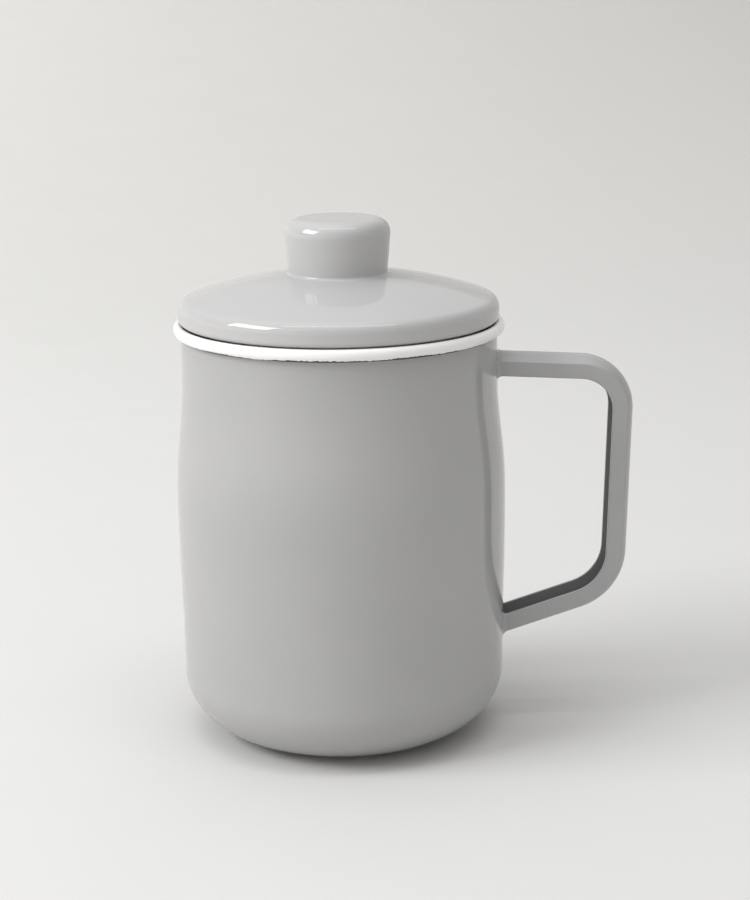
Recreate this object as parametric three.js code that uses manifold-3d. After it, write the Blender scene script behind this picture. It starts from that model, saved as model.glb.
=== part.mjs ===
// Enamelled steel pot for keeping cooking grease: a barrel-sided body with a rolled white rim,
// a pressed channel handle, a lift-out stainless strainer and a domed lid with a hollow knob.
// Lengths are in millimetres, +Z is up, and the origin is the centre of the flat base.

import * as THREE from 'three';
import { mergeGeometries, mergeVertices } from 'three/addons/utils/BufferGeometryUtils.js';
import Module from 'manifold-3d';

// Fineness of the round surfaces
const potSides = 48;
const knobSides = 36;
const cornerSteps = 6;
const wallSteps = 4;
const crownSteps = 5;
const bendSteps = 3;
const curlSteps = 8;
const handleSteps = 40;
const handleEdgeSteps = 2;

// Shared sizes
const enamelWall = 1.1;
const seatGap = 0.3;
const cutOverrun = 1;
const leastLength = 1e-6;

// Pot body: drawn shell with a flat base, a swept corner, a soft belly and a drawn-in neck
const bellyRadius = 60;
const bellyHeight = 88;
const footDrawIn = 0.8;
const baseCornerReach = 27.3;
const baseCornerRise = 22.8;
const neckDrawIn = 3.1;
const neckLength = 13.9;
const sideSwayShare = 0.45;

// Rolled rim: the sheet turns outward and down into a bead, and its cut edge hides underneath.
// The height is that of the bead's centre, which the neck, the handle, the strainer and the lid follow
const rimBeadHeight = 150.9;
const rimBeadRadius = 1.85;
const rimCurlSweep = THREE.MathUtils.degToRad(275);

// Handle: one strap pressed into a channel that opens towards the body
const handleWidth = 14.6;
const handleDepth = 8.1;
const handleCrown = 2.65;
const handleWall = 1.5;
const handleTopDrop = 10.55;
const handleTopDroop = THREE.MathUtils.degToRad(2.8);
const handleStandOff = 47.2;
const handleLegLean = THREE.MathUtils.degToRad(1.7);
const handleFootHeight = 33.6;
const handleFootRise = THREE.MathUtils.degToRad(18.4);
const handleUpperBend = 20;
const handleLowerBend = 24;
const handleBuriedLength = 8;

// Strainer: drawn cup hung by its flange, with wire mesh clamped on a ledge round its open floor
const strainerSheet = 0.4;
const strainerFlangeInset = 1.6;
const strainerMouthClearance = 2.4;
const strainerMouthBend = 1.5;
const strainerTaper = 3.8;
const strainerFloorBend = 5;
const strainerLedge = 9.6;
const strainerDepth = 42;
const meshWire = 1;
const meshPitch = 7;
const meshEdgeMargin = 0.4;
const clampRingHeight = 1.2;
const clampRingWidth = 3.6;

// Lid: domed pressing with a full round edge, a locating ring below and a hollow knob on top
const lidEdgeRadius = 4.4;
const lidCrownRadius = 170.8;
const lidEdgeTurnUnder = THREE.MathUtils.degToRad(96);
const ventRadius = 3;
const locatingRingClearance = 1;
const locatingRingDrop = 6;
const locatingRingFlange = 5;
const locatingRingBend = 1.6;
const knobTopRadius = 19.4;
const knobFootDrawIn = 1.74;
const knobHeight = 18.95;
const knobEdgeRadius = 5.4;

// Pot body and rim, worked out from the sizes above
const footRadius = bellyRadius - footDrawIn;
const baseFlatRadius = footRadius - baseCornerReach;
const neckRadius = bellyRadius - neckDrawIn;
const neckHeight = rimBeadHeight - neckLength;
const rimBeadCentre = neckRadius - enamelWall + rimBeadRadius;

// Handle, which hangs from the rim's height and stands off the belly
const handleTopHeight = rimBeadHeight - handleTopDrop;
const handleReach = bellyRadius + handleStandOff;

// Strainer, whose flange lies on the bead inside its crest, and whose cup passes through the neck
const flangeUnderside = rimBeadHeight + Math.sqrt(rimBeadRadius ** 2 - strainerFlangeInset ** 2) + seatGap;
const flangeTop = flangeUnderside + strainerSheet;
const strainerFlangeRadius = rimBeadCentre - strainerFlangeInset;
const strainerMouthRadius = neckRadius - enamelWall - strainerMouthClearance;
const strainerFloorRadius = strainerMouthRadius - strainerTaper;
const strainerFloorHeight = flangeUnderside - strainerDepth;
const strainerOpeningRadius = strainerFloorRadius - strainerLedge;

// Flat ledge inside the cup's rounded floor corner, on which the mesh lies
const ledgeRadius = strainerFloorRadius - strainerFloorBend - meshEdgeMargin;
const ledgeHeight = strainerFloorHeight + strainerSheet;

// Lid, whose round edge ends over the crest of the rim bead and lies on the strainer's flange
const lidEdgeHeight = flangeTop + seatGap + lidEdgeRadius;
const lidEdgeCentre = rimBeadCentre - lidEdgeRadius;
const crownToEdge = lidCrownRadius - lidEdgeRadius;
const crownCentreHeight = lidEdgeHeight - Math.sqrt(crownToEdge ** 2 - lidEdgeCentre ** 2);
const crownEdgeAngle = Math.asin(lidEdgeCentre / crownToEdge);
const locatingRingRadius = strainerMouthRadius - strainerSheet - locatingRingClearance;
const knobFootRadius = knobTopRadius - knobFootDrawIn;

// Finishes
const greyEnamel = new THREE.MeshStandardMaterial({ color: '#959596', roughness: 0.16, metalness: 0 });
const whiteEnamel = new THREE.MeshStandardMaterial({ color: '#ebeae6', roughness: 0.16, metalness: 0 });
const steel = new THREE.MeshStandardMaterial({ color: '#c3c4c5', roughness: 0.3, metalness: 1 });

const wasm = await Module();
wasm.setup();

// A closed geometry as a solid that can be joined and cut
function toSolid(geometry) {
  const bare = geometry.clone();
  bare.deleteAttribute('normal');
  bare.deleteAttribute('uv');
  const merged = mergeVertices(bare);
  const corners = merged.index.array;
  const kept = [];
  for (let i = 0; i < corners.length; i += 3) {
    const [a, b, c] = corners.slice(i, i + 3);
    if (a !== b && b !== c && c !== a) kept.push(a, b, c);
  }
  const mesh = new wasm.Mesh({
    numProp: 3,
    vertProperties: new Float32Array(merged.attributes.position.array),
    triVerts: new Uint32Array(kept),
  });
  return new wasm.Manifold(mesh);
}

// A solid as a geometry again
function toGeometry(solid) {
  const mesh = solid.getMesh();
  const geometry = new THREE.BufferGeometry();
  geometry.setAttribute('position', new THREE.BufferAttribute(mesh.vertProperties, 3));
  geometry.setIndex(new THREE.BufferAttribute(mesh.triVerts, 1));
  geometry.computeVertexNormals();
  return geometry;
}

// The same outline moved sideways by a distance, to the left of its direction where positive
function offsetOutline(points, distance) {
  return points.map((point, i) => {
    const before = points[Math.max(i - 1, 0)];
    const after = points[Math.min(i + 1, points.length - 1)];
    const arriving = point.clone().sub(before).normalize();
    const leaving = after.clone().sub(point).normalize();
    const along = arriving.clone().add(leaving).normalize();
    const straight = Math.max(arriving.length(), leaving.length());
    const stretch = i > 0 && i < points.length - 1 ? straight / along.dot(arriving) : straight;
    const sideways = new THREE.Vector2(-along.y, along.x).multiplyScalar(distance * stretch);
    return point.clone().add(sideways);
  });
}

// Points along a path with a given number of steps on each of its pieces, in order, leaving out
// the stubs that join two pieces whose ends differ only by rounding
function pathPoints(path, steps) {
  const pieces = path.curves.filter((curve) => curve.getLength() > leastLength);
  const points = [pieces[0].getPoint(0)];
  pieces.forEach((curve, i) => {
    for (let step = 1; step <= steps[i]; step += 1) points.push(curve.getPoint(step / steps[i]));
  });
  return points;
}

// A path through corner points, with a round bend of its own radius at each inner corner
function bentPath(corners, bends) {
  const path = new THREE.Path();
  path.moveTo(corners[0].x, corners[0].y);
  for (let i = 1; i < corners.length - 1; i += 1) {
    const arriving = corners[i].clone().sub(corners[i - 1]).normalize();
    const leaving = corners[i + 1].clone().sub(corners[i]).normalize();
    const turn = Math.atan2(arriving.cross(leaving), arriving.dot(leaving));
    const side = Math.sign(turn);
    const setback = bends[i - 1] * Math.tan(Math.abs(turn) / 2);
    const start = corners[i].clone().addScaledVector(arriving, -setback);
    const inward = new THREE.Vector2(-arriving.y, arriving.x).multiplyScalar(side);
    const centre = start.clone().addScaledVector(inward, bends[i - 1]);
    const startAngle = Math.atan2(-inward.y, -inward.x);
    path.lineTo(start.x, start.y);
    path.absarc(centre.x, centre.y, bends[i - 1], startAngle, startAngle + turn, side < 0);
  }
  const last = corners[corners.length - 1];
  path.lineTo(last.x, last.y);
  return path;
}

// Turns a closed outline of radii and heights round the Z axis
function revolve(outline, sides) {
  const closed = [...outline, outline[0]];
  return new THREE.LatheGeometry(closed, sides).rotateX(Math.PI / 2);
}

// Revolves a sheet from the outline of its outer face: its wall lies to the left of the outline's
// direction where the thickness is positive, and to the right where it is negative
function revolveSheet(face, thickness, sides) {
  const section = [...face, ...offsetOutline(face, thickness).reverse()];
  return revolve(thickness > 0 ? section : section.reverse(), sides);
}

// Outer face of the pot body from the middle of the base up to the start of the rolled rim
function potFace() {
  const path = new THREE.Path();
  const lowerSway = (bellyHeight - baseCornerRise) * sideSwayShare;
  const upperSway = (neckHeight - bellyHeight) * sideSwayShare;
  path.moveTo(0, 0);
  path.lineTo(baseFlatRadius, 0);
  path.absellipse(baseFlatRadius, baseCornerRise, baseCornerReach, baseCornerRise, -Math.PI / 2, 0, false);
  path.bezierCurveTo(
    footRadius, baseCornerRise + lowerSway,
    bellyRadius, bellyHeight - lowerSway,
    bellyRadius, bellyHeight,
  );
  path.bezierCurveTo(
    bellyRadius, bellyHeight + upperSway,
    neckRadius, neckHeight - upperSway,
    neckRadius, neckHeight,
  );
  path.lineTo(neckRadius, rimBeadHeight);
  return { path, steps: [1, cornerSteps, wallSteps, wallSteps, 1] };
}

function makePotShell() {
  const { path, steps } = potFace();
  const curlInside = rimBeadRadius - enamelWall;
  path.absarc(rimBeadCentre, rimBeadHeight, curlInside, Math.PI, Math.PI - rimCurlSweep, true);
  return revolveSheet(pathPoints(path, [...steps, curlSteps]), enamelWall, potSides);
}

// Everything inside the pot's outer face and its seat gap, used to scribe the handle's feet
function makePotCore() {
  const { path, steps } = potFace();
  const face = offsetOutline(pathPoints(path, steps), -seatGap);
  return revolve([...face, new THREE.Vector2(0, rimBeadHeight)], potSides);
}

// Section of the handle strap: x across it, y from the middle of its crowned outer face towards
// the channel's lips. The inner face shares the crown's centre, so the wall stays even
function channelSection() {
  const half = handleWidth / 2;
  const innerHalf = half - handleWall;
  const crownRadius = (half ** 2 + handleCrown ** 2) / (2 * handleCrown);
  const innerRadius = crownRadius - handleWall;
  const middle = -Math.PI / 2;
  const turn = Math.asin(half / crownRadius);
  const innerTurn = Math.asin(innerHalf / innerRadius);
  const shape = new THREE.Shape();
  shape.absarc(0, crownRadius, crownRadius, middle - turn, middle + turn, false);
  shape.lineTo(half, handleDepth);
  shape.lineTo(innerHalf, handleDepth);
  shape.absarc(0, crownRadius, innerRadius, middle + innerTurn, middle - innerTurn, true);
  shape.lineTo(-innerHalf, handleDepth);
  shape.lineTo(-half, handleDepth);
  shape.closePath();
  return shape;
}

// A flat path stood up in the XZ plane, as the line that the handle strap follows
class StandingPath extends THREE.Curve {
  constructor(path) {
    super();
    this.path = path;
  }

  getPoint(t, target = new THREE.Vector3()) {
    const point = this.path.getPoint(t);
    return target.set(point.x, 0, point.y);
  }
}

// Where the line from a point at an angle meets the leaning outer face of the handle's leg
function meetLeg(point, angle, legTop) {
  const across = legTop.x - point.x + (point.y - legTop.y) * Math.tan(handleLegLean);
  const run = across / (1 - Math.tan(angle) * Math.tan(handleLegLean));
  return new THREE.Vector2(point.x + run, point.y + run * Math.tan(angle));
}

function makeHandleStrap() {
  const buriedRadius = neckRadius - handleBuriedLength;
  const upperFoot = new THREE.Vector2(neckRadius, handleTopHeight);
  const lowerFoot = new THREE.Vector2(bellyRadius, handleFootHeight);
  const droop = Math.tan(handleTopDroop);
  const rise = Math.tan(handleFootRise);
  const upperStart = new THREE.Vector2(buriedRadius, upperFoot.y + (upperFoot.x - buriedRadius) * droop);
  const lowerStart = new THREE.Vector2(buriedRadius, lowerFoot.y - (lowerFoot.x - buriedRadius) * rise);
  const upperCorner = new THREE.Vector2(handleReach, upperFoot.y - (handleReach - upperFoot.x) * droop);
  const lowerCorner = meetLeg(lowerFoot, handleFootRise, upperCorner);
  const outline = bentPath(
    [upperStart, upperCorner, lowerCorner, lowerStart],
    [handleUpperBend, handleLowerBend],
  );
  const strap = new THREE.ExtrudeGeometry(channelSection(), {
    extrudePath: new StandingPath(outline),
    steps: handleSteps,
    curveSegments: handleEdgeSteps,
  });
  return toGeometry(toSolid(strap).subtract(toSolid(makePotCore())));
}

function makeStrainerCup() {
  const corners = [
    new THREE.Vector2(strainerFlangeRadius, flangeUnderside),
    new THREE.Vector2(strainerMouthRadius, flangeUnderside),
    new THREE.Vector2(strainerFloorRadius, strainerFloorHeight),
    new THREE.Vector2(strainerOpeningRadius, strainerFloorHeight),
  ];
  const path = bentPath(corners, [strainerMouthBend, strainerFloorBend]);
  const face = pathPoints(path, [1, bendSteps, 1, bendSteps + 1, 1]);
  return revolveSheet(face, -strainerSheet, potSides);
}

// Wire mesh as a flat net: a disc with square gaps that stop where the clamp ring starts
function makeStrainerMesh() {
  const disc = new THREE.CylinderGeometry(ledgeRadius, ledgeRadius, meshWire, potSides).rotateX(Math.PI / 2);
  const openRadius = ledgeRadius - clampRingWidth;
  const gapWidth = meshPitch - meshWire;
  const reach = Math.floor(openRadius / meshPitch);
  const gaps = [];
  for (let row = -reach; row <= reach; row += 1) {
    for (let column = -reach; column <= reach; column += 1) {
      const x = column * meshPitch;
      const y = row * meshPitch;
      const farCorner = Math.hypot(Math.abs(x) + gapWidth / 2, Math.abs(y) + gapWidth / 2);
      if (farCorner > openRadius) continue;
      gaps.push(new THREE.BoxGeometry(gapWidth, gapWidth, meshWire + 2 * cutOverrun).translate(x, y, 0));
    }
  }
  const net = toSolid(disc).subtract(toSolid(mergeGeometries(gaps)));
  return toGeometry(net).translate(0, 0, ledgeHeight + meshWire / 2);
}

function makeClampRing() {
  const under = ledgeHeight + meshWire;
  const top = under + clampRingHeight;
  const innerRadius = ledgeRadius - clampRingWidth;
  const section = [
    new THREE.Vector2(innerRadius, under),
    new THREE.Vector2(ledgeRadius, under),
    new THREE.Vector2(ledgeRadius, top),
    new THREE.Vector2(innerRadius, top),
  ];
  return revolve(section, potSides);
}

// Height of a sphere that shares the crown's centre, at a distance from the axis
function crownHeightAt(radius, sphereRadius) {
  return crownCentreHeight + Math.sqrt(sphereRadius ** 2 - radius ** 2);
}

function makeLidShell() {
  const path = new THREE.Path();
  const ventAngle = Math.asin(ventRadius / lidCrownRadius);
  const crownStart = Math.PI / 2 - ventAngle;
  const crownEnd = Math.PI / 2 - crownEdgeAngle;
  path.absarc(0, crownCentreHeight, lidCrownRadius, crownStart, crownEnd, true);
  path.absarc(lidEdgeCentre, lidEdgeHeight, lidEdgeRadius, crownEnd, -lidEdgeTurnUnder, true);
  return revolveSheet(pathPoints(path, [crownSteps, curlSteps]), -enamelWall, potSides);
}

function makeLocatingRing() {
  const topSphere = lidCrownRadius - enamelWall - seatGap;
  const flangeRadius = locatingRingRadius - locatingRingFlange;
  const corners = [
    new THREE.Vector2(flangeRadius, crownHeightAt(flangeRadius, topSphere)),
    new THREE.Vector2(locatingRingRadius, crownHeightAt(locatingRingRadius, topSphere)),
    new THREE.Vector2(locatingRingRadius, flangeTop - locatingRingDrop),
  ];
  const path = bentPath(corners, [locatingRingBend]);
  return revolveSheet(pathPoints(path, [1, bendSteps, 1]), -enamelWall, potSides);
}

function makeLidKnob() {
  const footHeight = crownHeightAt(knobFootRadius - enamelWall, lidCrownRadius) + seatGap;
  const top = crownHeightAt(0, lidCrownRadius) + knobHeight;
  const corners = [
    new THREE.Vector2(0, top),
    new THREE.Vector2(knobTopRadius, top),
    new THREE.Vector2(knobFootRadius, footHeight),
  ];
  const path = bentPath(corners, [knobEdgeRadius]);
  return revolveSheet(pathPoints(path, [1, cornerSteps, 1]), -enamelWall, knobSides);
}

function piece(name, geometry, material) {
  const mesh = new THREE.Mesh(geometry, material);
  mesh.name = name;
  return mesh;
}

const pot = new THREE.Group();
pot.add(
  piece('pot_shell', makePotShell(), greyEnamel),
  piece('handle_strap', makeHandleStrap(), greyEnamel),
);

const strainer = new THREE.Group();
strainer.add(
  piece('strainer_cup', makeStrainerCup(), steel),
  piece('strainer_mesh', makeStrainerMesh(), steel),
  piece('mesh_clamp_ring', makeClampRing(), steel),
);

const lid = new THREE.Group();
lid.add(
  piece('lid_shell', makeLidShell(), greyEnamel),
  piece('lid_locating_ring', makeLocatingRing(), whiteEnamel),
  piece('lid_knob', makeLidKnob(), greyEnamel),
);

const greasePot = new THREE.Group();
greasePot.add(pot, strainer, lid);

export default greasePot;
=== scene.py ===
# %% [markdown]
# # A lidded enamel grease pot
# The real thing is enamelled steel: a drawn pot with a rolled rim, a pressed channel handle, a
# domed lid with a hollow knob, and a stainless strainer that hangs inside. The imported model
# already holds every piece at its true size and place, so this script leaves places alone. It
# rebuilds each piece with a fine surface and gives it a finish. Lengths are in metres, +Z is up,
# and the pot stands on z = 0 with its handle towards +X.

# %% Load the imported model
import math

import bmesh
import bpy
from mathutils import Matrix, Vector
from mathutils.geometry import interpolate_bezier


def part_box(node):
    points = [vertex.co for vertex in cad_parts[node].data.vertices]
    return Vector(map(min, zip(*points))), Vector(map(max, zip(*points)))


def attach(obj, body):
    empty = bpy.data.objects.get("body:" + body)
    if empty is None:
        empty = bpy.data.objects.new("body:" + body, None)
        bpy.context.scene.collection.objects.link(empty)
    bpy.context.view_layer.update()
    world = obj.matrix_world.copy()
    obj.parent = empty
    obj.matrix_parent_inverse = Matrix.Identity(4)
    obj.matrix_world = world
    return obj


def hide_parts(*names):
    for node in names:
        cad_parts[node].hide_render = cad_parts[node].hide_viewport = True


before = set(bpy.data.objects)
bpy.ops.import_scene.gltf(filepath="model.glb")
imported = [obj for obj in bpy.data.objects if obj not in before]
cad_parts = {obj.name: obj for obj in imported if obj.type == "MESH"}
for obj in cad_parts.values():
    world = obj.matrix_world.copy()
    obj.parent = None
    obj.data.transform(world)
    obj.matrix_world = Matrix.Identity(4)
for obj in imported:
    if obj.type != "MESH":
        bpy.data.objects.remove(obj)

scene = bpy.context.scene
mm = 0.001
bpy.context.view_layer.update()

# %% [markdown]
# ## The camera
# The photograph was taken with a long lens from a little above the lid. The lens and the place
# were found by fitting the pot's outlines, so the same view comes back when the camera is
# turned in three steps: level towards +Y, then down by the pitch, then round its own line of
# sight by the small roll of a camera that isn't quite level. A Track To constraint would be
# shorter, but it has no room for the roll.

# %% Set the camera
camera_place = Vector((0, -709.59, 280.33)) * mm
camera_pan = math.radians(1.003)
camera_pitch = math.radians(13.957)
camera_roll = math.radians(-0.665)
camera_lens = 80

camera = bpy.data.objects.new("camera", bpy.data.cameras.new("camera"))
scene.collection.objects.link(camera)
camera.data.lens = camera_lens
looking_down = Matrix.Rotation(math.radians(90) - camera_pitch, 4, "X")
turned = Matrix.Rotation(-camera_pan, 4, "Z") @ looking_down @ Matrix.Rotation(camera_roll, 4, "Z")
camera.matrix_world = Matrix.Translation(camera_place) @ turned
scene.camera = camera
print("Camera at", [round(value, 3) for value in camera_place], "with a lens of", camera_lens)

# %% [markdown]
# ## Helpers for materials
# A material is a small network of nodes. The helpers below each add one kind of node, or a few
# that always go together. start_material begins a material whose patterns read Object
# coordinates, so that a pattern has one size in metres on every piece.

# %% Helpers that add nodes
noise_calm_share = 0.3


def add_node(tree, kind, settings=None, values=None):
    """A new node, with its settings and with the values or the links of its inputs."""
    node = tree.nodes.new(kind)
    for name, setting in (settings or {}).items():
        setattr(node, name, setting)
    for name, value in (values or {}).items():
        if isinstance(value, bpy.types.NodeSocket):
            tree.links.new(value, node.inputs[name])
        else:
            node.inputs[name].default_value = value
    return node


def start_material(name):
    """A material with its node tree, its shader and the Object coordinates of the surface."""
    material = bpy.data.materials.new(name)
    material.use_nodes = True
    tree = material.node_tree
    shader = tree.nodes["Principled BSDF"]
    place = add_node(tree, "ShaderNodeTexCoord").outputs["Object"]
    return material, tree, shader, place


def math_node(tree, operation, first, second=0.0):
    """The result of one sum, in which each side is a number or a link."""
    return add_node(tree, "ShaderNodeMath", {"operation": operation}, {0: first, 1: second}).outputs[0]


def noise_node(tree, place, size, detail=2.0, roughness=0.5):
    """Soft noise with blotches of about the given size in metres."""
    values = {"Vector": place, "Scale": 1 / size, "Detail": detail, "Roughness": roughness}
    return add_node(tree, "ShaderNodeTexNoise", None, values).outputs["Fac"]


def range_node(tree, value, start, end, low, high):
    """The value moved from one range to another, level outside it."""
    values = {"Value": value, "From Min": start, "From Max": end, "To Min": low, "To Max": high}
    return add_node(tree, "ShaderNodeMapRange", None, values).outputs["Result"]


def drift_node(tree, place, size, low, high, detail=2.0, roughness=0.5, calm=noise_calm_share):
    """Soft noise spread between two values, and level in the calm share at each of its ends."""
    noise = noise_node(tree, place, size, detail, roughness)
    return range_node(tree, noise, calm, 1 - calm, low, high)


def split_axes(tree, vector):
    """The X, Y and Z of a vector, as the outputs of one node."""
    return add_node(tree, "ShaderNodeSeparateXYZ", None, {"Vector": vector}).outputs


def squared_radius(tree, axes):
    """The square of the distance from the Z axis."""
    across = math_node(tree, "POWER", axes["X"], 2.0)
    along = math_node(tree, "POWER", axes["Y"], 2.0)
    return math_node(tree, "ADD", across, along)


def mix_node(tree, share, first, second):
    """A colour between two colours."""
    node = add_node(tree, "ShaderNodeMix", {"data_type": "RGBA"})
    for socket, value in zip((node.inputs[0], node.inputs[6], node.inputs[7]), (share, first, second)):
        if isinstance(value, bpy.types.NodeSocket):
            tree.links.new(value, socket)
        else:
            socket.default_value = value
    return node.outputs[2]


def bump_node(tree, height, depth, under=None):
    """Shading bumps of a real depth in metres, on top of other bumps if there are any."""
    values = {"Height": height, "Distance": depth, "Strength": 1.0}
    if under:
        values["Normal"] = under
    return add_node(tree, "ShaderNodeBump", None, values).outputs["Normal"]


print("Noise is level in", noise_calm_share, "of its range at each end")

# %% [markdown]
# ## Vitreous enamel
# Enamel is glass powder that is melted on to the steel. It is glossy, but never dead flat: the
# sheet under it has soft waves, and the glass itself dries with a fine orange peel. A few grains
# of dust stay in it as specks, and the tint drifts a little. All of that is faint here, because
# from a step away the real pot looks clean. The lid and the knob take a lighter copy of the grey:
# painted light, for the extra light that their upward faces catch. A picture of enamel could be
# wrapped round each piece, but noise that fills the space has no seams and fits every shape.

# %% Enamel finish
enamel_gloss = 0.06
enamel_gloss_shares = (0.85, 1.2)
enamel_ior = 1.52
wave_size = 55 * mm
wave_depth = 0.22 * mm
peel_size = 3.2 * mm
peel_depth = 0.0035 * mm
drift_size = 45 * mm
speck_spacing = 4.5 * mm
speck_reach_share = 0.035
speck_cells_share = 0.12
speck_strength_share = 0.35


def enamel_specks(tree, place):
    """A mask that is 1 on tiny grains, which only a share of the cells hold."""
    cells = add_node(tree, "ShaderNodeTexVoronoi", None, {"Vector": place, "Scale": 1 / speck_spacing})
    picked = add_node(tree, "ShaderNodeSeparateColor", None, {"Color": cells.outputs["Color"]})
    chosen = math_node(tree, "LESS_THAN", picked.outputs[0], speck_cells_share)
    near = range_node(tree, cells.outputs["Distance"], speck_reach_share, 0.0, 0.0, 1.0)
    return math_node(tree, "MULTIPLY", math_node(tree, "MULTIPLY", chosen, near), speck_strength_share)


def enamel_bumps(tree, place):
    """Soft waves of the sheet with a fine orange peel on top."""
    waves = bump_node(tree, noise_node(tree, place, wave_size, detail=1.0), wave_depth)
    return bump_node(tree, noise_node(tree, place, peel_size, detail=1.0), peel_depth, waves)


def dress_enamel(tree, shader, place, colour):
    """Connects an enamel colour, its gloss and its bumps to the shader."""
    low, high = [enamel_gloss * share for share in enamel_gloss_shares]
    gloss = drift_node(tree, place, drift_size, low, high)
    tree.links.new(colour, shader.inputs["Base Color"])
    tree.links.new(gloss, shader.inputs["Roughness"])
    tree.links.new(enamel_bumps(tree, place), shader.inputs["Normal"])
    shader.inputs["IOR"].default_value = enamel_ior


def enamel_tint(tree, place, light_tint, dark_tint, speck_tint):
    """A tint that drifts between two colours, with specks of a third."""
    drift = drift_node(tree, place, drift_size, 0.0, 1.0)
    tint = mix_node(tree, drift, light_tint, dark_tint)
    return mix_node(tree, enamel_specks(tree, place), tint, speck_tint)


def make_enamel(name, *tints):
    """An enamel of three tints, as enamel_tint takes them."""
    material, tree, shader, place = start_material(name)
    dress_enamel(tree, shader, place, enamel_tint(tree, place, *tints))
    return material


grey_light = (0.404, 0.401, 0.405, 1)
grey_dark = (0.389, 0.386, 0.391, 1)
speck_on_grey = (0.14, 0.14, 0.14, 1)
white_light = (0.86, 0.855, 0.84, 1)
white_dark = (0.835, 0.83, 0.815, 1)
speck_on_white = (0.25, 0.24, 0.23, 1)
# Painted light: the lid's tints are a lighter copy of the grey, for the light that the lid and knob catch
# from above.
lid_lit_light = (0.470, 0.467, 0.471, 1)
lid_lit_dark = (0.453, 0.450, 0.455, 1)
grey_enamel = make_enamel("grey_glass", grey_light, grey_dark, speck_on_grey)
white_enamel = make_enamel("white_glass", white_light, white_dark, speck_on_white)
lid_lit_enamel = make_enamel("lid_lit_glass", lid_lit_light, lid_lit_dark, speck_on_grey)
print("Enamels:", ", ".join(enamel.name for enamel in (grey_enamel, white_enamel, lid_lit_enamel)))

# %% [markdown]
# ## The rim's enamel
# The white coat of the inside runs over the rolled rim and thins out on the underside of the
# bead. There a line of painted shade darkens it, which from the side shows as a thin, slightly
# ragged line. That line is at one height all the way round, so the finish reads the height, on
# the outside of the bead only, and lets a soft noise move the line up and down by a fraction of a
# millimetre. It could be a thin ring of its own, but painted shade has no thickness.

# %% White enamel with a line of painted shade under the bead
pot_low, pot_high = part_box("pot_shell")
rim_bead_radius = 1.85 * mm
rim_bead_height = pot_high.z - rim_bead_radius
shade_line_drop = 1.88 * mm
shade_line_blur = 0.07 * mm
shade_wander_size = 14 * mm
shade_grain_size = 1.2 * mm
shade_wander = 0.34 * mm
shade_grain = 0.26 * mm
shade_grain_detail = 4.0
shade_calm_share = 0.25
shade_reach_radius = 57 * mm
shade_lowest_drop = 5 * mm
# Painted shade: this dark tint stands in for the shade under the bead.
painted_shade_tint = (0.035, 0.028, 0.024, 1)


def make_rim_enamel():
    """White enamel with painted shade on the outside of the bead, below its widest line."""
    material, tree, shader, place = start_material("rim_glass")
    white = enamel_tint(tree, place, white_light, white_dark, speck_on_white)
    axes = split_axes(tree, place)
    radius = math_node(tree, "SQRT", squared_radius(tree, axes))
    outside = math_node(tree, "GREATER_THAN", radius, shade_reach_radius)
    beside_bead = math_node(tree, "GREATER_THAN", axes["Z"], rim_bead_height - shade_lowest_drop)
    wander = drift_node(tree, place, shade_wander_size, -shade_wander, shade_wander, calm=shade_calm_share)
    grain = drift_node(tree, place, shade_grain_size, -shade_grain, shade_grain, shade_grain_detail,
                       calm=shade_calm_share)
    height = math_node(tree, "ADD", axes["Z"], math_node(tree, "ADD", wander, grain))
    line = rim_bead_height - shade_line_drop
    below = range_node(tree, height, line + shade_line_blur, line - shade_line_blur, 0.0, 1.0)
    # The mask of painted shade under the bead.
    painted_shade = math_node(tree, "MULTIPLY", math_node(tree, "MULTIPLY", outside, beside_bead), below)
    dress_enamel(tree, shader, place, mix_node(tree, painted_shade, white, painted_shade_tint))
    return material


rim_enamel = make_rim_enamel()
# The line printed below is painted shade under the bead.
print("The burnt line is at", round((rim_bead_height - shade_line_drop) / mm, 2), "mm")

# %% [markdown]
# ## Stainless steel
# The strainer is drawn from thin stainless sheet and polished while it turns, which leaves fine
# rings round its axis. The finish gets them from noise that is read by radius and height only,
# so it can't change on the way round. Anisotropic shading would smear the light in the same
# way, but bumps also show as rings up close. Wire has no such rings and is brighter.

# %% Stainless finishes
steel_tint = (0.62, 0.615, 0.6, 1)
ring_size = 0.35 * mm
ring_depth = 0.004 * mm
ring_detail = 3.0
smudge_size = 25 * mm
smudge_detail = 4.0
sheet_gloss = 0.26
wire_gloss = 0.2
steel_gloss_shares = (0.8, 1.3)


def make_steel(name, gloss, turned_rings):
    """Satin stainless steel, with or without the rings of polishing on a lathe."""
    material, tree, shader, place = start_material(name)
    shader.inputs["Metallic"].default_value = 1.0
    shader.inputs["Base Color"].default_value = steel_tint
    low, high = [gloss * share for share in steel_gloss_shares]
    smudges = drift_node(tree, place, smudge_size, low, high, smudge_detail)
    tree.links.new(smudges, shader.inputs["Roughness"])
    if turned_rings:
        axes = split_axes(tree, place)
        radius = math_node(tree, "SQRT", squared_radius(tree, axes))
        ring_place = add_node(tree, "ShaderNodeCombineXYZ", None, {"X": radius, "Z": axes["Z"]})
        rings = noise_node(tree, ring_place.outputs[0], ring_size, ring_detail)
        tree.links.new(bump_node(tree, rings, ring_depth), shader.inputs["Normal"])
    return material


turned_steel = make_steel("turned_steel", sheet_gloss, True)
wire_steel = make_steel("wire_steel", wire_gloss, False)
print("Steels:", turned_steel.name, "and", wire_steel.name)

# %% [markdown]
# ## Helpers for shapes
# Almost every piece here was spun, drawn or pressed, so its shape is half a section turned round
# the Z axis. Sections are drawn as chains of edges in the XZ plane. A corner is rounded with
# the bevel operator on its vertex, where a bend of radius r on a corner that turns by t takes
# r * tan(t / 2) from each edge. A screw modifier would turn a section too, but the spin operator
# leaves a plain mesh that can be measured at once.

# %% Helpers that draw outlines
bend_segments = 10
weld_distance = 0.002 * mm


def at(radius, height):
    """A point of a section, in the XZ plane."""
    return Vector((radius, 0, height))


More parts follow.
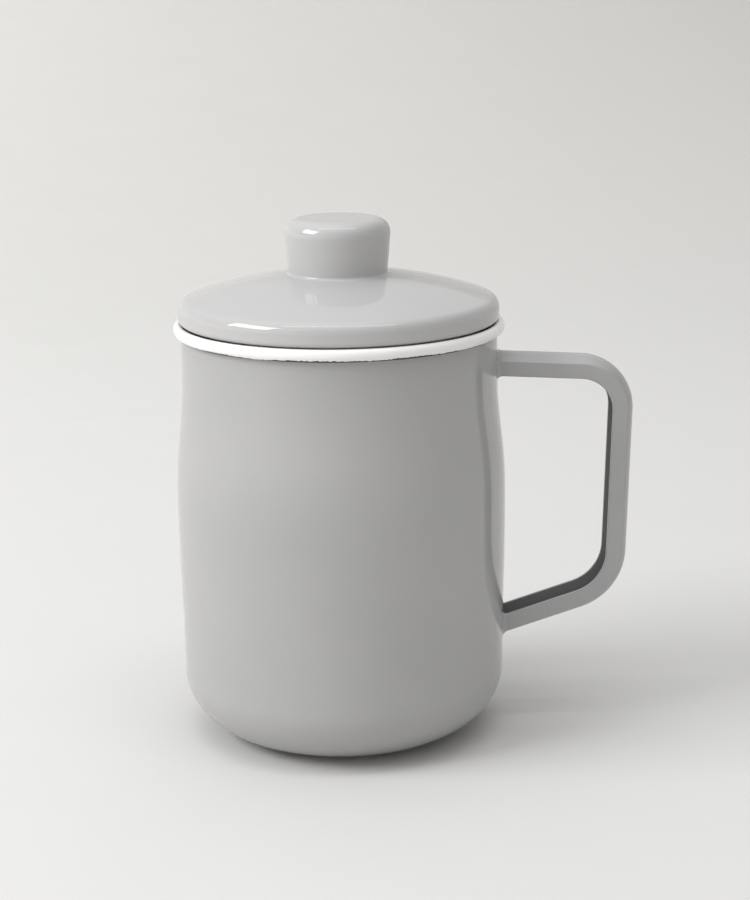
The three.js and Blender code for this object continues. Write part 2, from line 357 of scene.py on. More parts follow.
def arc_points(centre, radius, start, stop, steps):
    """Points on an arc between two angles in radians, measured from +X towards +Z."""
    angles = [start + (stop - start) * step / steps for step in range(steps + 1)]
    return [centre + radius * at(math.cos(angle), math.sin(angle)) for angle in angles]


def round_corner(bm, vert, radius):
    """Replaces the corner of a chain by a round bend."""
    arms = [edge.other_vert(vert).co - vert.co for edge in vert.link_edges]
    turn = math.pi - arms[0].angle(arms[1])
    setback = radius * math.tan(turn / 2)
    bmesh.ops.bevel(bm, geom=[vert], offset=setback, offset_type="OFFSET", segments=bend_segments,
                    profile=0.5, affect="VERTICES", material=-1)


def draw_chain(bm, points, bends=None, closed=False):
    """Joins points by edges, and rounds the corners that bends names by their number."""
    verts = [bm.verts.new(point) for point in points]
    ends = verts[1:] + verts[:1] if closed else verts[1:]
    for start, end in zip(verts, ends):
        bm.edges.new((start, end))
    for number, radius in (bends or {}).items():
        round_corner(bm, verts[number], radius)
    return verts


print("A bend has", bend_segments, "segments")

# %% Helpers that turn an outline and finish a piece
turn_steps = 192
sharp_turn = math.radians(40)


def spin_round(bm):
    """Turns what is drawn round the Z axis, and welds the seam and the poles."""
    bmesh.ops.remove_doubles(bm, verts=bm.verts[:], dist=weld_distance)
    drawn = bm.verts[:] + bm.edges[:]
    bmesh.ops.spin(bm, geom=drawn, cent=(0, 0, 0), axis=(0, 0, 1), angle=math.tau,
                   steps=turn_steps, use_merge=True)
    bmesh.ops.remove_doubles(bm, verts=bm.verts[:], dist=weld_distance)
    bmesh.ops.recalc_face_normals(bm, faces=bm.faces[:])


def finish_piece(bm, name, finish, body, slot, *nodes):
    """Makes a smooth piece of the mesh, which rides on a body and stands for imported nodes."""
    open_edges = sum(1 for edge in bm.edges if not edge.is_manifold)
    mesh = bpy.data.meshes.new(name)
    bm.to_mesh(mesh)
    print(name, "has", len(bm.faces), "faces,", open_edges, "open edges and a volume of",
          round(bm.calc_volume(signed=True) / mm ** 3), "cubic mm")
    bm.free()
    mesh.shade_smooth()
    mesh.set_sharp_from_angle(angle=sharp_turn)
    mesh.materials.append(finish)
    piece = bpy.data.objects.new(name, mesh)
    scene.collection.objects.link(piece)
    level = piece.modifiers.new("level_flats", "WEIGHTED_NORMAL")
    level.keep_sharp = True
    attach(piece, body)
    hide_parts(*nodes)
    return piece


print("A full turn has", turn_steps, "steps")

# %% [markdown]
# ## The pot's body
# One disc of steel is drawn into the whole body: a flat base, a swept corner, a soft belly and a
# neck that is drawn in under the rim. The grey coat covers the outside and the white coat the
# inside. One wall with two materials would look the same, but here the body is two thin shells
# back to back, so that each coat is a piece of its own. Both follow the same line at
# their own depth in the wall: a quarter ellipse for the corner, and two Bezier curves that meet
# at the belly, where the wall stands upright.

# %% Line of the body at a depth in its wall
belly_radius = pot_high.y
belly_height = 88 * mm
enamel_wall = 1.1 * mm
belly_swell = 0.8 * mm
foot_radius = belly_radius - belly_swell
corner_reach = 27.3 * mm
corner_rise = 22.8 * mm
neck_draw_in = 3.1 * mm
neck_radius = belly_radius - neck_draw_in
neck_drop = 13.9 * mm
neck_height = rim_bead_height - neck_drop
side_sway_share = 0.45
corner_steps = 24
side_steps = 32


def side_curve(low, high):
    """Points of the wall between two heights at which it stands upright."""
    sway = at(0, (high.z - low.z) * side_sway_share)
    return interpolate_bezier(low, low + sway, high - sway, high, side_steps)


def body_line(depth):
    """Half section of the body from the middle of the base to the neck, at a depth in the wall."""
    inward = at(-depth, 0)
    corner_centre = at(foot_radius - corner_reach, corner_rise)
    points = [at(0, depth)]
    reach, rise = corner_reach - depth, corner_rise - depth
    for point in arc_points(at(0, 0), 1, -math.pi / 2, 0, corner_steps):
        points.append(corner_centre + at(point.x * reach, point.z * rise))
    points += side_curve(at(foot_radius, corner_rise) + inward, at(belly_radius, belly_height) + inward)
    points += side_curve(at(belly_radius, belly_height) + inward, at(neck_radius, neck_height) + inward)
    return points


print("The neck is", round(2 * neck_radius / mm, 1), "mm across")

# %% The grey coat of the outside
coat = enamel_wall / 2
coat_seam = 0.02 * mm
coat_top_under_bead = 1.2 * mm


def make_pot_outside():
    """The outer half of the wall, up to the underside of the rim's bead."""
    bm = bmesh.new()
    top = rim_bead_height - coat_top_under_bead
    outer = body_line(0) + [at(neck_radius, top)]
    inner = body_line(coat - coat_seam) + [at(neck_radius - coat + coat_seam, top)]
    draw_chain(bm, outer + inner[::-1])
    spin_round(bm)
    return finish_piece(bm, "pot_outside", grey_enamel, "pot", "grey_enamel", "pot_shell")


pot_outside = make_pot_outside()

# %% [markdown]
# ## The white lining and the rolled rim
# The white coat lines the inside, climbs over the rim and follows it round. The rim is the
# sheet's own edge, rolled outward and down by three quarters of a turn, so it is drawn as two
# arcs about one centre, a wall apart, joined where the sheet was cut. A torus on top would be
# quicker, but from below it would show that the rim isn't the sheet itself. The glass runs down
# the bead before it sets, so the roll looks a little taller than it is wide.

# %% The white coat of the inside, with the rolled rim
rim_curl_sweep = math.radians(275)
curl_steps = 40
curl_edge_bend = 0.3 * mm
roll_height_share = 1.19
rim_bead_centre = at(neck_radius - enamel_wall + rim_bead_radius, rim_bead_height)


def curl_arc(radius, start, stop):
    """One face of the curl, made a little taller than it is wide, with its top kept in place."""
    points = arc_points(rim_bead_centre, radius, start, stop, curl_steps)
    return [at(point.x, pot_high.z - (pot_high.z - point.z) * roll_height_share) for point in points]


def make_pot_lining():
    """The inner half of the wall and the whole of the rolled bead."""
    bm = bmesh.new()
    curl_end = math.pi - rim_curl_sweep
    over = curl_arc(rim_bead_radius, math.pi, curl_end)
    back = curl_arc(rim_bead_radius - enamel_wall, curl_end, math.pi)
    step_height = rim_bead_height - coat_top_under_bead + coat_seam
    step = [at(neck_radius, step_height), at(neck_radius - coat, step_height)]
    points = body_line(enamel_wall) + over + back + step + body_line(coat)[::-1]
    cut_outer = len(body_line(enamel_wall)) + curl_steps
    draw_chain(bm, points, {cut_outer: curl_edge_bend, cut_outer + 1: curl_edge_bend})
    spin_round(bm)
    return finish_piece(bm, "pot_lining", rim_enamel, "pot", "white_enamel", "pot_shell")


pot_lining = make_pot_lining()

# %% [markdown]
# ## The handle
# The handle is one strap, pressed into a channel that is open towards the body, bent twice and
# welded on before the pot is enamelled. The channel's section is drawn once and carried along
# the handle: extrude takes it down the straight stretches and spin takes it round the two
# bends. A curve with a bevel object could carry it too, but gives no hold on the two ends. Bends
# and lengths are those of the channel's outer face.

# %% Corners and directions of the handle
handle_low, handle_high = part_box("handle_strap")
handle_stand_off = 47.1 * mm
upper_foot_drop = 10.55 * mm
lower_foot_height = 33.6 * mm
handle_droop = math.radians(2.8)
handle_lean = math.radians(1.7)
handle_rise = math.radians(18.4)
upper_bend = 20 * mm
lower_bend = 24 * mm

upper_foot = at(neck_radius, rim_bead_height - upper_foot_drop)
lower_foot = at(belly_radius, lower_foot_height)
outward = at(math.cos(handle_droop), -math.sin(handle_droop))
downward = at(-math.sin(handle_lean), -math.cos(handle_lean))
homeward = at(-math.cos(handle_rise), -math.sin(handle_rise))
upper_corner = upper_foot + outward * ((belly_radius + handle_stand_off - neck_radius) / outward.x)


def crossing(start, direction, other, other_direction):
    """The point where two lines of the XZ plane meet."""
    normal = at(-other_direction.z, other_direction.x)
    return start + direction * ((other - start).dot(normal) / direction.dot(normal))


lower_corner = crossing(upper_corner, downward, lower_foot, homeward)
for corner in (upper_corner, lower_corner):
    print("Handle corner in mm:", round(corner.x / mm, 1), round(corner.z / mm, 1))

# %% [markdown]
# ## The channel's section
# The outer face is crowned across its width and meets the two sides in narrow edges, which catch
# the light as thin bright lines. The lips are rounded on the outside, because they lie against
# the fingers. The face inside the channel shares the crown's centre, so the wall is even.

# %% Draw the channel's section
handle_half = (handle_high.y - handle_low.y) / 2
handle_depth = 8.1 * mm
handle_crown = 2.65 * mm
handle_wall = 1.5 * mm
channel_half = handle_half - handle_wall
handle_edge_bend = 0.6 * mm
handle_lip_bend = 0.6 * mm
handle_lip_ease = 0.3 * mm
crown_steps = 12
crown_radius = (handle_half ** 2 + handle_crown ** 2) / (2 * handle_crown)


def crown_arc(half, radius):
    """Points across one face of the crown, as distances across the strap and into the channel."""
    turn = math.asin(half / radius)
    angles = [turn * (2 * step / crown_steps - 1) for step in range(crown_steps + 1)]
    return [(radius * math.sin(angle), crown_radius - radius * math.cos(angle)) for angle in angles]


def draw_channel(bm, place, along):
    """The closed section of the channel at a point of the handle, with rounded corners."""
    across = Vector((0, 1, 0))
    into = at(along.z, -along.x)
    outer = crown_arc(handle_half, crown_radius)
    inner = crown_arc(channel_half, crown_radius - handle_wall)[::-1]
    lips = [(handle_half, handle_depth), (channel_half, handle_depth)]
    far_lips = [(-channel_half, handle_depth), (-handle_half, handle_depth)]
    last = len(outer) - 1
    bends = {0: handle_edge_bend, last: handle_edge_bend, last + 1: handle_lip_bend,
             last + 2: handle_lip_ease, -2: handle_lip_ease, -1: handle_lip_bend}
    section = outer + lips + inner + far_lips
    draw_chain(bm, [place + across * u + into * v for u, v in section], bends, closed=True)


print("The crown's radius is", round(crown_radius / mm, 2), "mm")

# %% Carry the channel's section along the handle
foot_straight = 3.5 * mm
handle_bend_steps = 40


def verts_in(items):
    """The vertices among what a bmesh operator gives back."""
    return [item for item in items if isinstance(item, bmesh.types.BMVert)]


def edges_in(items):
    """The edges among what a bmesh operator gives back."""
    return [item for item in items if isinstance(item, bmesh.types.BMEdge)]


def verts_of(ring):
    """The vertices of a ring of edges, each once and in the order of the edges."""
    return list(dict.fromkeys(vert for edge in ring for vert in edge.verts))


def bend_setback(radius, arriving, leaving):
    """How far before its corner a bend starts."""
    return radius * math.tan(arriving.angle(leaving) / 2)


def carry_straight(bm, ring, shift):
    """Extrudes a ring of edges by a shift, and gives the ring at the far end."""
    grown = bmesh.ops.extrude_edge_only(bm, edges=ring)["geom"]
    bmesh.ops.translate(bm, verts=verts_in(grown), vec=shift)
    return edges_in(grown)


def carry_round(bm, ring, corner, arriving, leaving, radius):
    """Spins a ring of edges round a bend of the handle, and gives the ring at its end."""
    start = corner - arriving * bend_setback(radius, arriving, leaving)
    centre = start + at(arriving.z, -arriving.x) * radius
    spun = bmesh.ops.spin(bm, geom=verts_of(ring) + ring, cent=centre, axis=(0, 1, 0),
                          angle=arriving.angle(leaving), steps=handle_bend_steps)
    return edges_in(spun["geom_last"])


def draw_handle(bm):
    """The channel from foot to foot, and the rings of edges at its two open ends."""
    start = upper_foot + outward * foot_straight
    end = lower_foot - homeward * foot_straight
    upper_setback = bend_setback(upper_bend, outward, downward)
    lower_setback = bend_setback(lower_bend, downward, homeward)
    draw_channel(bm, start, outward)
    first = bm.edges[:]
    ring = carry_straight(bm, first, upper_corner - outward * upper_setback - start)
    ring = carry_round(bm, ring, upper_corner, outward, downward, upper_bend)
    leg = lower_corner - downward * lower_setback - (upper_corner + downward * upper_setback)
    ring = carry_straight(bm, ring, leg)
    ring = carry_round(bm, ring, lower_corner, downward, homeward, lower_bend)
    return first, carry_straight(bm, ring, end - lower_corner - homeward * lower_setback)


print("Each bend of the handle has", handle_bend_steps, "steps")

# %% [markdown]
# ## The feet of the handle
# Where the strap meets the body, the enamel flows into the corner and leaves a smooth fillet.
# Each foot goes on with rings that come closer to the body and spread as they do, by the
# formula of a quarter circle. Every point of a ring slides along the strap until it is as far
# from the body's round side as the ring should be, and the last ring goes just under the
# surface, where the end is closed. A boolean cut along the body would leave a hard corner.

# %% Grow the feet against the body
outer_fillet = 1.9 * mm
inner_fillet = 1.0 * mm
foot_steps = 8
foot_sink = 0.15 * mm
side_face_share = 0.5
slide_rounds = 6
body_side = [point for point in body_line(0) if point.z >= corner_rise]


def body_radius_at(height):
    """Outer radius of the body at a height on its side."""
    for low, high in zip(body_side, body_side[1:]):
        if low.z <= height <= high.z and high.z > low.z:
            return low.x + (high.x - low.x) * (height - low.z) / (high.z - low.z)
    return neck_radius


def slide_to_body(point, inward, gap):
    """The point moved along the strap until it lies a gap outside the body."""
    moved = point.copy()
    for turn in range(slide_rounds):
        surface = math.sqrt(body_radius_at(moved.z) ** 2 - moved.y ** 2)
        moved += inward * ((surface + gap - moved.x) / inward.x)
    return moved


def foot_starts(bm, ring, inward):
    """Each point of a foot's first ring with its place, its way outward and its fillet."""
    bm.normal_update()
    verts = verts_of(ring)
    middle = sum((vert.co for vert in verts), Vector()) / len(verts)
    starts = {}
    for vert in verts:
        side = (vert.normal - inward * vert.normal.dot(inward)).normalized()
        facing_out = side.dot((vert.co - middle).normalized())
        share = min(max(side_face_share + facing_out, 0), 1)
        starts[vert] = (vert.co.copy(), side, inner_fillet + (outer_fillet - inner_fillet) * share)
    return starts


def grow_foot(bm, ring, inward):
    """Adds the flared rings of one foot and closes its end under the body's surface."""
    starts = foot_starts(bm, ring, inward)
    for step in range(foot_steps + 2):
        angle = min(step / foot_steps, 1) * math.pi / 2
        sink = foot_sink if step > foot_steps else 0
        grown = bmesh.ops.extrude_edge_only(bm, edges=ring)["geom"]
        ring = [edge for edge in edges_in(grown) if edge.is_boundary]
        followed = {}
        for vert in verts_in(grown):
            followed[vert] = starts[min(starts, key=lambda old: (old.co - vert.co).length)]
        for vert, (place, side, fillet) in followed.items():
            spread = side * fillet * (1 - math.cos(angle))
            vert.co = slide_to_body(place + spread, inward, fillet * (1 - math.sin(angle)) - sink)
        starts = followed
    bmesh.ops.triangle_fill(bm, use_beauty=True, edges=ring)


print("Fillets at the feet in mm:", round(outer_fillet / mm, 1), "and", round(inner_fillet / mm, 1))

# %% [markdown]
# The strap's grey is a darker copy of the pot's: painted shade, for the shadow that the body casts
# on the handle. Inside the channel it is painted darker still, as painted shade in the recess,
# where the walls and the body keep the light out. A second material on picked faces would end in
# steps, so one finish finds the inside by two facts: it lies between the two walls, and it faces
# the middle of the finger gap.

# %% Enamel with painted shade, darkest inside the channel
# Painted shade: the strap's tints are darker than the pot's, and the channel's tint darker still.
handle_shaded_light = (0.378, 0.375, 0.380, 1)
handle_shaded_dark = (0.364, 0.361, 0.366, 1)
channel_shade_tint = (0.255, 0.252, 0.256, 1)
channel_shade_edge = 0.3 * mm
finger_gap_middle = (handle_low + handle_high) / 2


def make_handle_enamel():
    """A darker copy of the grey enamel as painted shade, darker still inside the channel."""
    material, tree, shader, place = start_material("handle_shaded_glass")
    grey = enamel_tint(tree, place, handle_shaded_light, handle_shaded_dark, speck_on_grey)
    own_way = place.node.outputs["Normal"]
    home = add_node(tree, "ShaderNodeVectorMath", {"operation": "SUBTRACT"},
                    {0: finger_gap_middle, 1: place}).outputs[0]
    facing = add_node(tree, "ShaderNodeVectorMath", {"operation": "DOT_PRODUCT"},
                      {0: home, 1: own_way}).outputs["Value"]
    from_middle = math_node(tree, "ABSOLUTE", split_axes(tree, place)["Y"])
    between = range_node(tree, from_middle, channel_half + channel_shade_edge, channel_half, 0.0, 1.0)
    faces_gap = math_node(tree, "GREATER_THAN", facing, 0.0)
    inside = math_node(tree, "MULTIPLY", between, faces_gap)
    dress_enamel(tree, shader, place, mix_node(tree, inside, grey, channel_shade_tint))
    return material


handle_shaded_enamel = make_handle_enamel()
# The dark coat printed below is painted shade inside the channel.
print("The dark coat starts", round(channel_half / mm, 1), "mm from the handle's middle")

# %% Make the handle
def make_handle():
    """The channel handle with its two welded and enamelled feet."""
    bm = bmesh.new()
    upper_ring, lower_ring = draw_handle(bm)
    bmesh.ops.recalc_face_normals(bm, faces=bm.faces[:])
    grow_foot(bm, upper_ring, -outward)
    grow_foot(bm, lower_ring, homeward)
    bmesh.ops.recalc_face_normals(bm, faces=bm.faces[:])
    return finish_piece(bm, "handle", handle_shaded_enamel, "pot", "grey_enamel", "handle_strap")


handle = make_handle()

# %% [markdown]
# ## The strainer
# The strainer is a cup drawn from thin stainless sheet. It hangs by its flange on the inside of
# the rim, and its floor is cut open, so that only a ledge is left for the mesh. Both faces could
# be drawn, but one bent line is enough: it is turned, and solidify then gives the sheet its
# thickness on the inner side. The cut edges are eased with a small bevel, as a finished edge is.

# %% The drawn cup
strainer_sheet = 0.4 * mm
strainer_low, strainer_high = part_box("strainer_cup")
strainer_flange_radius = strainer_high.y
flange_underside = strainer_high.z - strainer_sheet
strainer_clearance = 2.4 * mm
strainer_mouth_radius = neck_radius - enamel_wall - strainer_clearance
strainer_mouth_bend = 1.5 * mm
strainer_taper = 3.8 * mm
strainer_floor_radius = strainer_mouth_radius - strainer_taper
strainer_floor_bend = 5 * mm
strainer_ledge = 9.6 * mm
strainer_opening_radius = strainer_floor_radius - strainer_ledge
sheet_edge_ease = 0.12 * mm
ease_segments = 2


def ease_edges(bm, width):
    """Bevels every sharp edge a little, as a deburred edge is."""
    bm.normal_update()
    sharp = [edge for edge in bm.edges if edge.is_manifold and edge.calc_face_angle() > sharp_turn]
    bmesh.ops.bevel(bm, geom=sharp, offset=width, offset_type="OFFSET", segments=ease_segments,
                    profile=0.5, affect="EDGES", material=-1)


def make_strainer_cup():
    """The cup with its flange above and its ledge below."""
    bm = bmesh.new()
    points = [at(strainer_flange_radius, flange_underside), at(strainer_mouth_radius, flange_underside),
              at(strainer_floor_radius, strainer_low.z), at(strainer_opening_radius, strainer_low.z)]
    draw_chain(bm, points, {1: strainer_mouth_bend, 2: strainer_floor_bend})
    spin_round(bm)
    bmesh.ops.solidify(bm, geom=bm.faces[:], thickness=strainer_sheet)
    ease_edges(bm, sheet_edge_ease)
    return finish_piece(bm, "strainer_body", turned_steel, "strainer", "stainless_steel", "strainer_cup")


strainer_body = make_strainer_cup()

# %% [markdown]
# ## The woven mesh
# The mesh is a plain weave: each wire goes over one and under the next of those that cross it.
# A wire is a curve with a round section whose height follows a cosine, one half wave from
# crossing to crossing. Neighbours start half a wave apart. A see-through picture of a net would
# be lighter, but the wires are real geometry, because light has to pass between them.

# %% Weave the mesh
mesh_low, mesh_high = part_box("strainer_mesh")
mesh_radius = mesh_high.y
wire_diameter = 0.46 * mm
wire_pitch = 2.2 * mm
wire_steps = 4
wire_resolution = 1


def add_wire(curve, number, crossing_way):
    """One wire of the weave, the given number of pitches from the middle."""
    offset = number * wire_pitch
    reach = math.sqrt(mesh_radius ** 2 - offset ** 2) - wire_diameter
    last = math.floor(reach / wire_pitch * wire_steps)
    height = (mesh_low.z + mesh_high.z) / 2
    swing = wire_diameter / 2 * (1 if (number % 2 == 0) == crossing_way else -1)
    spline = curve.splines.new("POLY")
    spline.points.add(2 * last)
    for point, step in zip(spline.points, range(-last, last + 1)):
        along = step * wire_pitch / wire_steps
        lift = swing * math.cos(math.pi * step / wire_steps)
        point.co = (along, offset, height + lift, 1) if crossing_way else (offset, along, height + lift, 1)


def make_mesh():
    """All wires of both directions, as one mesh of separate closed tubes."""
    curve = bpy.data.curves.new("wires", "CURVE")
    curve.dimensions = "3D"
    curve.bevel_depth = wire_diameter / 2
    curve.bevel_resolution = wire_resolution
    curve.use_fill_caps = True
    count = math.floor((mesh_radius - wire_pitch) / wire_pitch)
    for number in range(-count, count + 1):
        add_wire(curve, number, True)
        add_wire(curve, number, False)
    wires = bpy.data.objects.new("wires", curve)
    bm = bmesh.new()
    bm.from_mesh(bpy.data.meshes.new_from_object(wires))
    bpy.data.objects.remove(wires)
    bmesh.ops.remove_doubles(bm, verts=bm.verts[:], dist=weld_distance)
    bmesh.ops.recalc_face_normals(bm, faces=bm.faces[:])
    return finish_piece(bm, "woven_mesh", wire_steel, "strainer", "stainless_steel", "strainer_mesh")


woven_mesh = make_mesh()

# %% [markdown]
# ## The ring on the mesh
# A flat ring is pressed on to the edge of the mesh, so that no wire can slip out or scratch. A
# squashed torus would be too round for a strip of sheet, so its four corners are drawn, rounded
# and turned round the axis.

# %% The ring that clamps the mesh
ring_low, ring_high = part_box("mesh_clamp_ring")
clamp_ring_width = 3.6 * mm
clamp_ring_bend = 0.5 * mm


def make_clamp_ring():
    """A flat ring with rounded edges, pressed on to the edge of the mesh."""
    bm = bmesh.new()
    inner = ring_high.y - clamp_ring_width
    corners = [at(inner, ring_low.z), at(ring_high.y, ring_low.z),
               at(ring_high.y, ring_high.z), at(inner, ring_high.z)]
    draw_chain(bm, corners, {number: clamp_ring_bend for number in range(len(corners))}, closed=True)
    spin_round(bm)
    return finish_piece(bm, "clamp_ring", turned_steel, "strainer", "stainless_steel", "mesh_clamp_ring")


clamp_ring = make_clamp_ring()

# %% [markdown]
# ## The lid
# The lid is a shallow dome of a large radius that turns down in a round edge. The two arcs share
# a tangent, because the edge's centre lies inside the crown by exactly the difference of the two
# radii. Below its widest line the edge turns under in a tighter bend, from which a flat strip
# runs inward to the cut of the sheet. A flattened sphere would come close, but it has no edge of
# a radius of its own. As on the pot, the outside is grey and the inside white, so the lid is two
# shells back to back, and a small vent is left open under the knob.

# %% Line of the lid at a depth in its wall
seat_gap = 0.3 * mm
lid_edge_radius = 4.4 * mm
lid_crown_radius = 170.8 * mm
lid_turn_under = math.radians(96)
lid_lower_bend = 1.9 * mm
lid_crown_steps = 48
lid_edge_steps = 16
vent_radius = 3 * mm
lid_cut_bend = 0.22 * mm

lid_edge_centre = at(rim_bead_centre.x - lid_edge_radius, strainer_high.z + seat_gap + lid_edge_radius)
crown_to_edge = lid_crown_radius - lid_edge_radius
crown_centre = at(0, lid_edge_centre.z - math.sqrt(crown_to_edge ** 2 - lid_edge_centre.x ** 2))
crown_edge_angle = math.acos(lid_edge_centre.x / crown_to_edge)
crown_vent_angle = math.acos(vent_radius / lid_crown_radius)


def lid_line(depth):
    """Half section of the lid from the vent to the cut edge, at a depth in the wall."""
    crown = arc_points(crown_centre, lid_crown_radius - depth, crown_vent_angle,
                       crown_edge_angle, lid_crown_steps)
    edge = arc_points(lid_edge_centre, lid_edge_radius - depth, crown_edge_angle, 0, lid_edge_steps)
    inset = lid_edge_radius - lid_lower_bend
    lower_centre = lid_edge_centre + at(inset, -inset)
    under = arc_points(lower_centre, lid_lower_bend - depth, 0, -math.pi / 2, lid_edge_steps)
    cut = at(lid_edge_centre.x + lid_edge_radius * math.cos(lid_turn_under), under[-1].z)
    return crown + edge[1:] + under + [cut]


def crown_height_at(radius, depth=0.0):
    """Height of the crown at a distance from the axis, at a depth in the wall."""
    return crown_centre.z + math.sqrt((lid_crown_radius - depth) ** 2 - radius ** 2)


def make_lid_coat(name, finish, slot, outer_depth, inner_depth, rounded):
    """One coat of the lid between two depths of its wall."""
    bm = bmesh.new()
    outer = lid_line(outer_depth)
    points = outer + lid_line(inner_depth)[::-1]
    cut_corner = len(outer) - 1 if rounded == "outer" else len(outer)
    draw_chain(bm, points, {cut_corner: lid_cut_bend}, closed=True)
    spin_round(bm)
    return finish_piece(bm, name, finish, "lid", slot, "lid_shell")


lid_outside = make_lid_coat("lid_outside", lid_lit_enamel, "grey_enamel", 0, coat - coat_seam, "outer")
lid_lining = make_lid_coat("lid_lining", white_enamel, "white_enamel", coat, enamel_wall, "inner")
print("The lid's top is at", round(crown_height_at(0) / mm, 2), "mm")

# %% [markdown]
# ## The locating ring under the lid
# A short ring is welded under the dome and drops inside the strainer's mouth, so that the lid
# can't slide off. A plain tube would stop it too, but nothing would hold it: it is bent from a
# strip, of which a narrow flange follows the dome and the rest stands straight down.

# %% Make the locating ring
locating_low, locating_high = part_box("lid_locating_ring")
locating_flange = 5 * mm
locating_bend = 1.6 * mm
locating_ease = 0.3 * mm


def make_locating_ring():
    """The ring under the lid, with its flange and its rounded lower edge."""
    bm = bmesh.new()
    radius = locating_high.y
    under_lid = enamel_wall + seat_gap
    points = [at(radius - locating_flange, crown_height_at(radius - locating_flange, under_lid)),
              at(radius, crown_height_at(radius, under_lid)), at(radius, locating_low.z)]
    draw_chain(bm, points, {1: locating_bend})
    spin_round(bm)
    bmesh.ops.solidify(bm, geom=bm.faces[:], thickness=enamel_wall)
    ease_edges(bm, locating_ease)
    return finish_piece(bm, "locating_ring", white_enamel, "lid", "white_enamel", "lid_locating_ring")


locating_ring = make_locating_ring()

# %% [markdown]
# ## The knob
# The knob is a hollow cup with a flat top, a generous round edge and sides that draw in towards
# the foot. It is welded on the dome, and the enamel fills the corner with a smooth fillet. A
# bevelled cylinder would meet the dome in a sharp line, so the outline runs on past the foot and
# along the dome, and its inner corner is rounded by the radius of that fillet.

# %% Make the knob
knob_top_radius = 19.4 * mm
knob_draw_in = 1.74 * mm
knob_foot_radius = knob_top_radius - knob_draw_in
knob_edge_bend = 5.4 * mm
knob_fillet = 1.2 * mm
knob_apron = 1.5 * mm
knob_sink = 0.12 * mm
knob_low, knob_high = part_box("lid_knob")


def make_knob():
    """The hollow knob with its fillet of enamel on the lid."""
    bm = bmesh.new()
    top = knob_high.z
    apron_radius = knob_foot_radius + knob_apron
    inner_foot = knob_foot_radius - enamel_wall
    points = [at(0, top), at(knob_top_radius, top),
              at(knob_foot_radius, crown_height_at(knob_foot_radius)),
              at(apron_radius, crown_height_at(apron_radius)),
              at(apron_radius, crown_height_at(apron_radius) - knob_sink),
              at(inner_foot, crown_height_at(inner_foot) - knob_sink),
              at(knob_top_radius - enamel_wall, top - enamel_wall), at(0, top - enamel_wall)]
    draw_chain(bm, points, {1: knob_edge_bend, 2: knob_fillet, 6: knob_edge_bend - enamel_wall})
    spin_round(bm)
    return finish_piece(bm, "knob", lid_lit_enamel, "lid", "grey_enamel", "lid_knob")


knob = make_knob()

# %% [markdown]
# ## The floor and the backdrop
# The pot stands on a sweep of pale paper that rises behind it without an edge. A level line that
# runs into a wide bend, turned round the Z axis, gives such a sweep on all sides, so every view
# has the same pale ground. The bend is so wide that the paper is lit almost as evenly as the
# floor. Light and shade are also painted into the paper's tint: it is painted lighter towards the
# lamps on the left, most of all far back, a little warmer far back, and darker on the right, so its
# tint is mixed from four tints, by how far across and how far out a place lies. The paper is matt
# and very slightly mottled.

# %% Make the sweep of paper
paper_level_reach = 0.9
paper_bend = 2.7
paper_rise = math.radians(51)
paper_steps = 40
paper_side_reach = 0.6
paper_far_reach = 2.0
# Painted light and shade: the left tints are lighter and the right tints darker, as the light falls from
# the left.
near_left_lit_tint = (0.685, 0.684, 0.675, 1)
near_right_shaded_tint = (0.602, 0.600, 0.595, 1)
far_left_lit_tint = (0.810, 0.802, 0.774, 1)
far_right_shaded_tint = (0.570, 0.565, 0.550, 1)
mottle_tint = (0.5, 0.497, 0.49, 1)
mottle_size = 60 * mm
mottle_share = 0.06
mottle_detail = 5.0
mottle_roughness = 0.6
paper_roughness = 0.9
paper_sheen = 0.1


def make_paper():
    """Matt pale paper with painted light and shade in its tint, with blotches that can hardly be seen."""
    material, tree, shader, place = start_material("paper")
    shader.inputs["Roughness"].default_value = paper_roughness
    shader.inputs["Specular IOR Level"].default_value = paper_sheen
    axes = split_axes(tree, place)
    far = range_node(tree, squared_radius(tree, axes), 0.0, paper_far_reach ** 2, 0.0, 1.0)
    right = range_node(tree, axes["X"], -paper_side_reach, paper_side_reach, 0.0, 1.0)
    left_tint = mix_node(tree, far, near_left_lit_tint, far_left_lit_tint)
    right_tint = mix_node(tree, far, near_right_shaded_tint, far_right_shaded_tint)
    tint = mix_node(tree, right, left_tint, right_tint)
    blotches = drift_node(tree, place, mottle_size, 0.0, mottle_share, mottle_detail, mottle_roughness)
    tree.links.new(mix_node(tree, blotches, tint, mottle_tint), shader.inputs["Base Color"])
    return material


def make_sweep():
    """The level floor and the wide bend in which the paper rises from it."""
    bm = bmesh.new()
    centre = at(paper_level_reach, paper_bend)
    start = -math.pi / 2
    draw_chain(bm, [at(0, 0)] + arc_points(centre, paper_bend, start, start + paper_rise, paper_steps))
    spin_round(bm)
    mesh = bpy.data.meshes.new("sweep")
    bm.to_mesh(mesh)
    bm.free()
    mesh.shade_smooth()
    mesh.materials.append(make_paper())
    sweep = bpy.data.objects.new("sweep", mesh)
    scene.collection.objects.link(sweep)
    return sweep


sweep = make_sweep()
print("The paper is level for", paper_level_reach, "m round the pot")

# %% [markdown]
# ## The light
# A wide soft lamp stands on the left and a little in front, like a window: it models the pot
# from light to dark, throws the soft shadow to the right and gives the small bright marks on
# the knob and on the lid's edge. A weak second one, nearer to the camera, fills its shadow. A
# long narrow strip under the ceiling draws thin lines of light along the rounded edges. A
# picture of a room could light the pot too, but each of these lamps can be moved and measured.

# %% Set the lamps
lamp_aim = Vector((0, 0, 90)) * mm
lamp_distance = 2.5
lamps = {
    "left_window": {"turn": 252, "rise": 36, "size": (1.4, 1.0), "watts": 38},
    "front_window": {"turn": 229, "rise": 30, "size": (1.6, 1.6), "watts": 3},
    "ceiling_strip": {"turn": 180, "rise": 78, "size": (2.4, 0.14), "watts": 7.5},
}


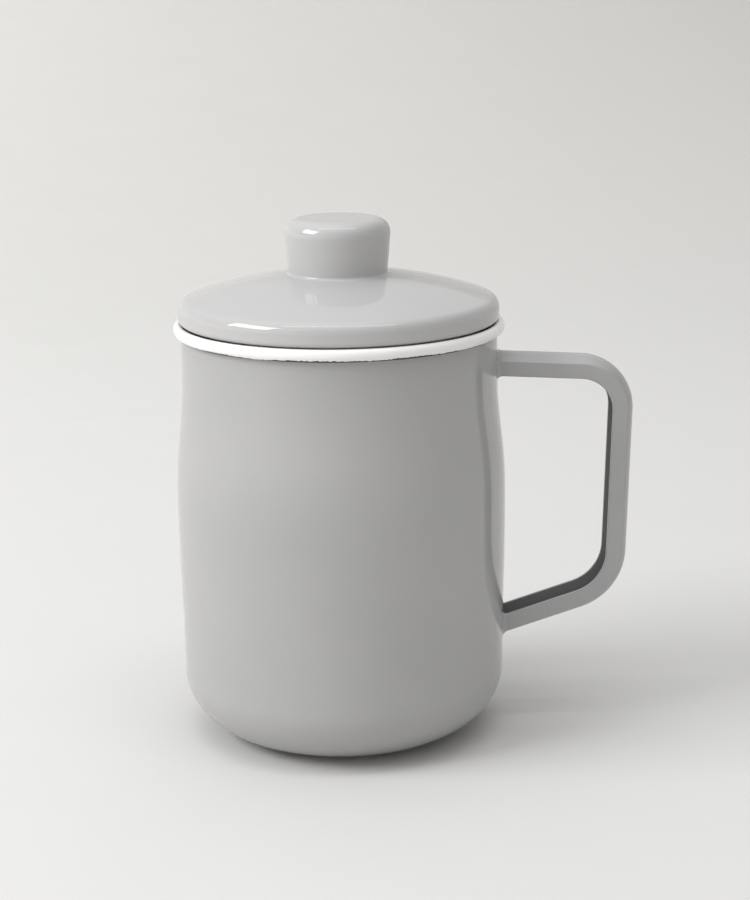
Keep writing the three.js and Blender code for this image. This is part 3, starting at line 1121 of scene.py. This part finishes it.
def add_lamp(name, turn, rise, size, watts):
    """A soft rectangular lamp. Its turn is measured clockwise from +Y, seen from above."""
    light = bpy.data.lights.new(name, "AREA")
    light.shape = "RECTANGLE"
    light.size, light.size_y = size
    light.energy = watts
    lamp = bpy.data.objects.new(name, light)
    scene.collection.objects.link(lamp)
    side, height = math.radians(turn), math.radians(rise)
    level = math.cos(height)
    away = Vector((math.sin(side) * level, math.cos(side) * level, math.sin(height)))
    aim = (-away).to_track_quat("-Z", "Y").to_matrix().to_4x4()
    lamp.matrix_world = Matrix.Translation(lamp_aim + away * lamp_distance) @ aim
    lamp.visible_camera = False
    return lamp


for name, facts in lamps.items():
    add_lamp(name, **facts)
print("Lamps:", ", ".join(lamps))

# %% [markdown]
# The rest of the light is the room itself: a bright ceiling, brightest straight overhead, and a
# softer glow from behind the pot, which gives the lid its sheen. The front of the room is dim.
# The sky does this by direction: each part of it grows with a power of how far a direction
# points up, back or to the front.

# %% Light the room
sky_tint = (1.0, 0.995, 0.985, 1)
glow_even = 0.14
glow_back = 0.54
glow_front = 0.18
glow_up = 0.76
glow_overhead = 0.95
spread_wide = 2.0
spread_narrow = 8.0


def glow_towards(tree, pointing, strength, spread):
    """One part of the sky's brightness, which is strongest where the direction points that way."""
    ahead = math_node(tree, "MAXIMUM", pointing, 0.0)
    return math_node(tree, "MULTIPLY", math_node(tree, "POWER", ahead, spread), strength)


world = bpy.data.worlds.new("room")
scene.world = world
world.use_nodes = True
room = world.node_tree
ways = split_axes(room, add_node(room, "ShaderNodeTexCoord").outputs["Generated"])
toward_front = math_node(room, "MULTIPLY", ways["Y"], -1.0)
glow = glow_even
for pointing, strength, spread in ((ways["Y"], glow_back, spread_wide),
                                   (toward_front, glow_front, spread_wide),
                                   (ways["Z"], glow_up, spread_wide),
                                   (ways["Z"], glow_overhead, spread_narrow)):
    glow = math_node(room, "ADD", glow_towards(room, pointing, strength, spread), glow)
room.nodes["Background"].inputs["Color"].default_value = sky_tint
room.links.new(glow, room.nodes["Background"].inputs["Strength"])
print("Straight overhead the room has a strength of", round(glow_even + glow_up + glow_overhead, 2))

# %% [markdown]
# ## Finish
# The colours are shown plainly, without a film look.

# %% Show the colours plainly
scene.view_settings.view_transform = "Standard"
